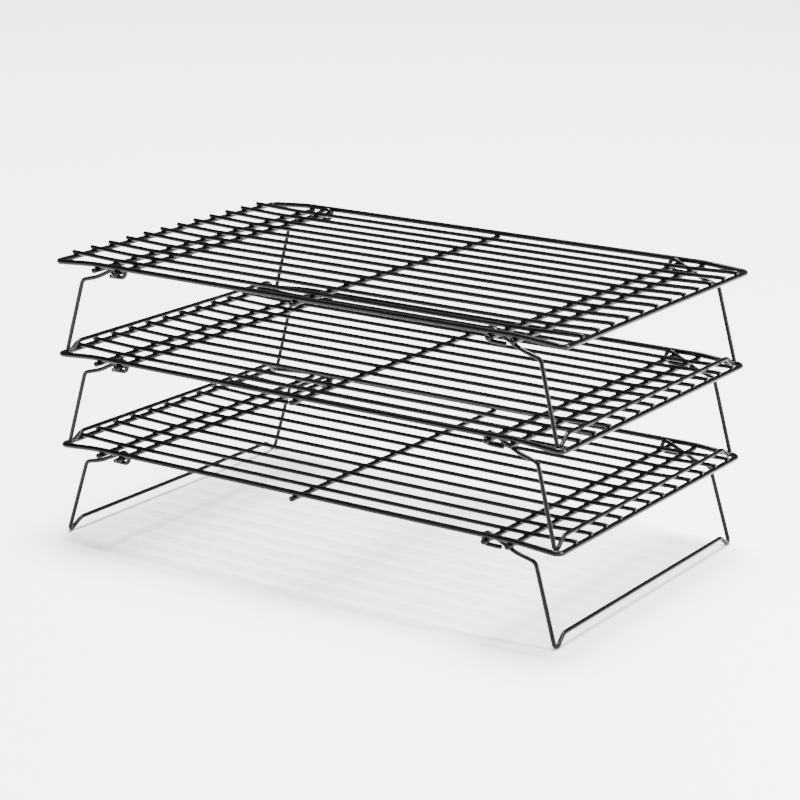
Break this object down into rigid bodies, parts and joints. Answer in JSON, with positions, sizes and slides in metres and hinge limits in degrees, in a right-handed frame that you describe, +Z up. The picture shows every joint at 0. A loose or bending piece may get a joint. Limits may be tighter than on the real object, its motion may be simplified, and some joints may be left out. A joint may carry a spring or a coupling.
{
  "type": "cooling rack",
  "caption": "Stack of oblong wire cooling racks, each with lengthwise grid wires and fold-under bent wire legs that stand on the frame corners of the rack below.",
  "frame": {"origin": "on the surface that the stack stands on, under the middle of the racks", "axes": "+X along the length, -Y to the front, +Z up"},
  "size_m": [0.404, 0.258, 0.1996],
  "materials": {
    "nonstick_coating": "satin black non-stick coating on steel wire"
  },
  "bodies": {
    "bottom_rack": {"bottom_frame": "nonstick_coating", "bottom_crossbar_left_outer": "nonstick_coating", "bottom_crossbar_left_inner": "nonstick_coating", "bottom_crossbar_middle": "nonstick_coating", "bottom_crossbar_right_inner": "nonstick_coating", "bottom_crossbar_right_outer": "nonstick_coating", "bottom_grid_wire_01": "nonstick_coating", "bottom_grid_wire_02": "nonstick_coating", "bottom_grid_wire_03": "nonstick_coating", "bottom_grid_wire_04": "nonstick_coating", "bottom_grid_wire_05": "nonstick_coating", "bottom_grid_wire_06": "nonstick_coating", "bottom_grid_wire_07": "nonstick_coating", "bottom_grid_wire_08": "nonstick_coating", "bottom_grid_wire_09": "nonstick_coating", "bottom_grid_wire_10": "nonstick_coating", "bottom_grid_wire_11": "nonstick_coating", "bottom_grid_wire_12": "nonstick_coating"},
    "bottom_leg_left": {"bottom_leg_left": "nonstick_coating"},
    "bottom_leg_right": {"bottom_leg_right": "nonstick_coating"},
    "middle_rack": {"middle_frame": "nonstick_coating", "middle_crossbar_left_outer": "nonstick_coating", "middle_crossbar_left_inner": "nonstick_coating", "middle_crossbar_middle": "nonstick_coating", "middle_crossbar_right_inner": "nonstick_coating", "middle_crossbar_right_outer": "nonstick_coating", "middle_grid_wire_01": "nonstick_coating", "middle_grid_wire_02": "nonstick_coating", "middle_grid_wire_03": "nonstick_coating", "middle_grid_wire_04": "nonstick_coating", "middle_grid_wire_05": "nonstick_coating", "middle_grid_wire_06": "nonstick_coating", "middle_grid_wire_07": "nonstick_coating", "middle_grid_wire_08": "nonstick_coating", "middle_grid_wire_09": "nonstick_coating", "middle_grid_wire_10": "nonstick_coating", "middle_grid_wire_11": "nonstick_coating", "middle_grid_wire_12": "nonstick_coating"},
    "middle_leg_left": {"middle_leg_left": "nonstick_coating"},
    "middle_leg_right": {"middle_leg_right": "nonstick_coating"},
    "top_rack": {"top_frame": "nonstick_coating", "top_crossbar_left_outer": "nonstick_coating", "top_crossbar_left_inner": "nonstick_coating", "top_crossbar_middle": "nonstick_coating", "top_crossbar_right_inner": "nonstick_coating", "top_crossbar_right_outer": "nonstick_coating", "top_grid_wire_01": "nonstick_coating", "top_grid_wire_02": "nonstick_coating", "top_grid_wire_03": "nonstick_coating", "top_grid_wire_04": "nonstick_coating", "top_grid_wire_05": "nonstick_coating", "top_grid_wire_06": "nonstick_coating", "top_grid_wire_07": "nonstick_coating", "top_grid_wire_08": "nonstick_coating", "top_grid_wire_09": "nonstick_coating", "top_grid_wire_10": "nonstick_coating", "top_grid_wire_11": "nonstick_coating", "top_grid_wire_12": "nonstick_coating"},
    "top_leg_left": {"top_leg_left": "nonstick_coating"},
    "top_leg_right": {"top_leg_right": "nonstick_coating"}
  },
  "joints": [
    {"name": "bottom_leg_left_fold", "type": "hinge", "parent": "bottom_rack", "child": "bottom_leg_left", "pos_m": [-0.1472, 0, 0.06254], "axis": [0, -1, 0], "range_deg": [0, 130]},
    {"name": "bottom_leg_right_fold", "type": "hinge", "parent": "bottom_rack", "child": "bottom_leg_right", "pos_m": [0.1472, 0, 0.06254], "axis": [0, 1, 0], "range_deg": [0, 130]},
    {"name": "middle_rack_lift", "type": "slide", "parent": "bottom_rack", "child": "middle_rack", "axis": [0, 0, 1], "range_m": [0, 0.16]},
    {"name": "middle_leg_left_fold", "type": "hinge", "parent": "middle_rack", "child": "middle_leg_left", "pos_m": [-0.1472, 0, 0.12804], "axis": [0, -1, 0], "range_deg": [0, 128]},
    {"name": "middle_leg_right_fold", "type": "hinge", "parent": "middle_rack", "child": "middle_leg_right", "pos_m": [0.1472, 0, 0.12804], "axis": [0, 1, 0], "range_deg": [0, 128]},
    {"name": "top_rack_lift", "type": "slide", "parent": "middle_rack", "child": "top_rack", "axis": [0, 0, 1], "range_m": [0, 0.16]},
    {"name": "top_leg_left_fold", "type": "hinge", "parent": "top_rack", "child": "top_leg_left", "pos_m": [-0.1472, 0, 0.19354], "axis": [0, -1, 0], "range_deg": [0, 128]},
    {"name": "top_leg_right_fold", "type": "hinge", "parent": "top_rack", "child": "top_leg_right", "pos_m": [0.1472, 0, 0.19354], "axis": [0, 1, 0], "range_deg": [0, 128]}
  ],
  "couplings": [
    {"joint": "middle_leg_left_fold", "follows": "middle_rack_lift", "rad_per_m": 13.9},
    {"joint": "middle_leg_right_fold", "follows": "middle_rack_lift", "rad_per_m": 13.9},
    {"joint": "top_leg_left_fold", "follows": "top_rack_lift", "rad_per_m": 13.9},
    {"joint": "top_leg_right_fold", "follows": "top_rack_lift", "rad_per_m": 13.9}
  ]
}
